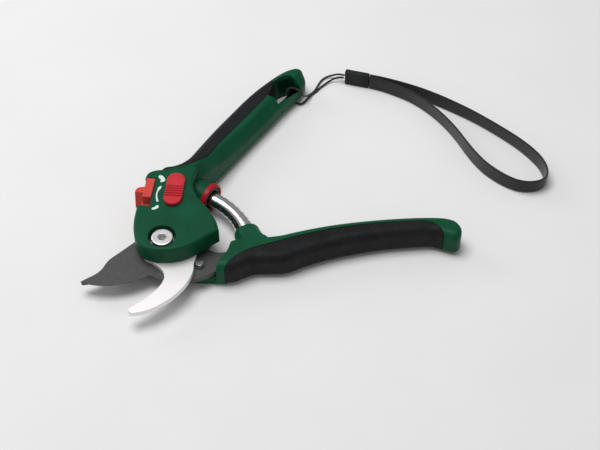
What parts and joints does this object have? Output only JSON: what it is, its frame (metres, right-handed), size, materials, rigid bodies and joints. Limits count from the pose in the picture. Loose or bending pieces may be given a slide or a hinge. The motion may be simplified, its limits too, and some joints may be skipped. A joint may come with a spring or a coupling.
{
  "type": "pruning shears",
  "caption": "Bypass pruning shears lying open, with a volute opening spring, safety latch, opening selector, soft grips and a wrist strap.",
  "frame": {"origin": "the foot of the pivot axis on the plane the tool rests on, at the centre of the pivot nut's closed face", "axes": "+Z along the pivot axis, up from the resting plane; +X along the lower handle; +Y towards the upper handle"},
  "size_m": [0.2632, 0.2, 0.0268],
  "materials": {
    "green_plastic": "dark green, satin gloss",
    "grip_rubber": "black, matt soft moulding",
    "red_plastic": "red, smooth",
    "coated_steel": "dark grey non-stick coating",
    "polished_steel": "bright ground steel",
    "plated_steel": "bright plating",
    "spring_steel": "bright plated strip, rolled",
    "bronze": "machined",
    "black_plastic": "black, fine grain",
    "cord_braid": "thin black braided cord",
    "strap_webbing": "black woven webbing"
  },
  "bodies": {
    "root": {"upper_body": "green_plastic", "bottom_cover": "green_plastic", "upper_grip": "grip_rubber", "counter_blade": "polished_steel", "counter_blade_pin_1": "plated_steel", "counter_blade_pin_2": "plated_steel", "pivot_bolt": "plated_steel", "pivot_washer": "plated_steel", "pivot_bush": "bronze", "pivot_nut": "plated_steel", "cover_screw_1": "plated_steel", "cover_screw_2": "plated_steel", "cover_screw_3": "plated_steel", "spring_collar": "red_plastic", "volute_spring": "spring_steel", "cord_loop": "cord_braid", "strap_connector": "black_plastic", "wrist_strap": "strap_webbing"},
    "lever": {"cutting_blade": "coated_steel", "lower_body": "green_plastic", "lower_grip": "grip_rubber", "stop_pin": "plated_steel", "tang_rivet_1": "plated_steel", "tang_rivet_2": "plated_steel"},
    "latch": {"latch_slide": "red_plastic"},
    "selector": {"selector_button": "red_plastic", "selector_carrier": "black_plastic"}
  },
  "joints": [
    {"name": "lever_pivot", "type": "hinge", "parent": "root", "child": "lever", "pos_m": [0, 0, 0.0082], "axis": [0, 0, 1], "range_deg": [0, 38], "stiffness_Nm_per_rad": 1.2, "springref_deg": -17.19, "deforming": ["volute_spring"]},
    {"name": "latch_slide", "type": "slide", "parent": "root", "child": "latch", "axis": [-0.1149, -0.9934, 0], "range_m": [0, 0.005]},
    {"name": "selector_slide", "type": "slide", "parent": "root", "child": "selector", "axis": [-0.0837, -0.9965, 0], "range_m": [0, 0.004]}
  ]
}
